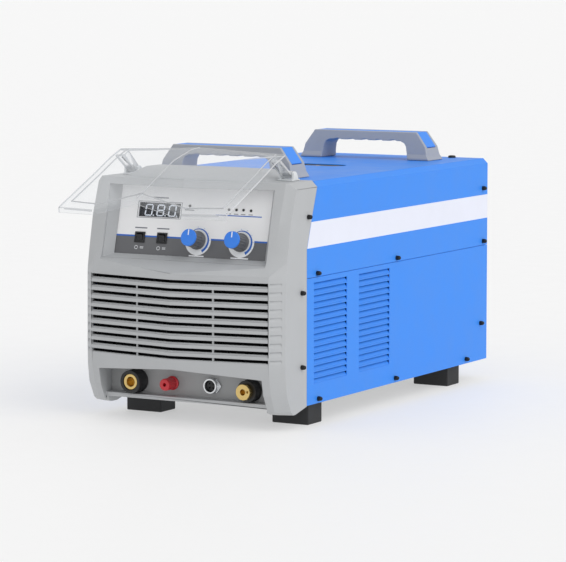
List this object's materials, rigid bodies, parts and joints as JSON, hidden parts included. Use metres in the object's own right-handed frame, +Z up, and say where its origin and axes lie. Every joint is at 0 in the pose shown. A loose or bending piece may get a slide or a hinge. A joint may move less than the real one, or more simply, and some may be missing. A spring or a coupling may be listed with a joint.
{
  "type": "plasma cutter unit",
  "caption": "Free-standing inverter plasma cutter power unit with a moulded front, control panel under a clear hinged visor, lift handles, louvred case, fan and block feet.",
  "frame": {"origin": "centre of the whole outline on the floor, under the feet", "axes": "+X to the right seen from the front, +Y to the back, +Z up; the control panel faces -Y"},
  "size_m": [0.3332, 0.777, 0.3834],
  "materials": {
    "bezel_grey": "fine moulded grain",
    "handle_grey": "fine moulded grain",
    "case_blue": "semi-gloss powder coat",
    "inlay_blue": "satin",
    "panel_face": "printed film",
    "display_lens": "smoked glossy",
    "display_dark": "gloss",
    "circuit_board": "solder mask",
    "black_plastic": "satin moulded",
    "knob_grey": "satin moulded",
    "knob_blue": "satin",
    "board_grey": "satin",
    "brass": "turned",
    "red_plastic": "gloss",
    "chrome": "plated",
    "bright_steel": "zinc plated",
    "black_steel": "black oxide",
    "foot_rubber": "moulded",
    "clear_plastic": "clear polished",
    "hinge_plastic": "moulded",
    "aluminium": "extruded",
    "capacitor_sleeve": "shrink sleeve",
    "ferrite": "sintered",
    "copper": "enamelled copper"
  },
  "bodies": {
    "case": {"front_bezel": "bezel_grey", "control_panel": "panel_face", "display_window": "display_lens", "display_module": "display_dark", "control_board": "circuit_board", "rocker_switch_body_left": "black_plastic", "rocker_switch_body_right": "black_plastic", "potentiometer_left": "bright_steel", "potentiometer_right": "bright_steel", "connector_board": "board_grey", "work_socket_body": "black_plastic", "work_socket_contact": "brass", "pilot_terminal": "red_plastic", "trigger_socket_shell": "chrome", "trigger_socket_insert": "black_plastic", "torch_connector_flange": "black_plastic", "torch_connector_body": "brass", "top_cover": "case_blue", "side_panel_right": "case_blue", "side_panel_left": "case_blue", "base_tray": "bright_steel", "rear_panel": "case_blue", "front_bulkhead": "bright_steel", "lifting_cup": "bright_steel", "lifting_eye": "brass", "front_handle": "handle_grey", "rear_handle": "handle_grey", "front_handle_inlay": "inlay_blue", "rear_handle_inlay": "inlay_blue", "foot_front_left": "foot_rubber", "foot_front_right": "foot_rubber", "foot_rear_left": "foot_rubber", "foot_rear_right": "foot_rubber", "visor_hinge_left": "hinge_plastic", "visor_hinge_right": "hinge_plastic", "fan_guard": "black_steel", "fan_frame": "black_plastic", "cable_gland": "black_plastic", "air_inlet": "brass", "breaker_body": "black_plastic", "heatsink": "aluminium", "power_board": "circuit_board", "bus_capacitor_left": "capacitor_sleeve", "bus_capacitor_right": "capacitor_sleeve", "transformer_core": "ferrite", "transformer_winding": "copper", "output_reactor": "copper", "solenoid_valve": "brass", "pilot_arc_unit": "black_plastic", "bezel_screw_left": "black_steel", "bezel_screw_right": "black_steel"},
    "visor": {"visor": "clear_plastic"},
    "knob_left": {"knob_left": "knob_grey", "knob_cap_left": "knob_blue"},
    "knob_right": {"knob_right": "knob_grey", "knob_cap_right": "knob_blue"},
    "rocker_left": {"rocker_left": "black_plastic"},
    "rocker_right": {"rocker_right": "black_plastic"},
    "fan_rotor": {"fan_rotor": "black_plastic"},
    "breaker_toggle": {"breaker_toggle": "black_plastic"}
  },
  "joints": [
    {"name": "visor_hinge", "type": "hinge", "parent": "case", "child": "visor", "pos_m": [0, -0.197, 0.3486], "axis": [-1, 0, 0], "range_deg": [-20, 80]},
    {"name": "knob_left_turn", "type": "hinge", "parent": "case", "child": "knob_left", "pos_m": [0.0115, -0.26129, 0.25982], "axis": [0, -0.9696, 0.2449], "range_deg": [-150, 150]},
    {"name": "knob_right_turn", "type": "hinge", "parent": "case", "child": "knob_right", "pos_m": [0.0805, -0.26129, 0.25982], "axis": [0, -0.9696, 0.2449], "range_deg": [-150, 150]},
    {"name": "rocker_left_tilt", "type": "hinge", "parent": "case", "child": "rocker_left", "pos_m": [-0.083, -0.24699, 0.25683], "axis": [1, 0, 0], "range_deg": [-16, 0]},
    {"name": "rocker_right_tilt", "type": "hinge", "parent": "case", "child": "rocker_right", "pos_m": [-0.0468, -0.24699, 0.25683], "axis": [1, 0, 0], "range_deg": [-16, 0]},
    {"name": "fan_spin", "type": "hinge", "parent": "case", "child": "fan_rotor", "pos_m": [0.02, 0.345, 0.201], "axis": [0, 1, 0], "continuous": true},
    {"name": "breaker_tilt", "type": "hinge", "parent": "case", "child": "breaker_toggle", "pos_m": [-0.098, 0.362, 0.269], "axis": [1, 0, 0], "range_deg": [-43, 0]}
  ]
}
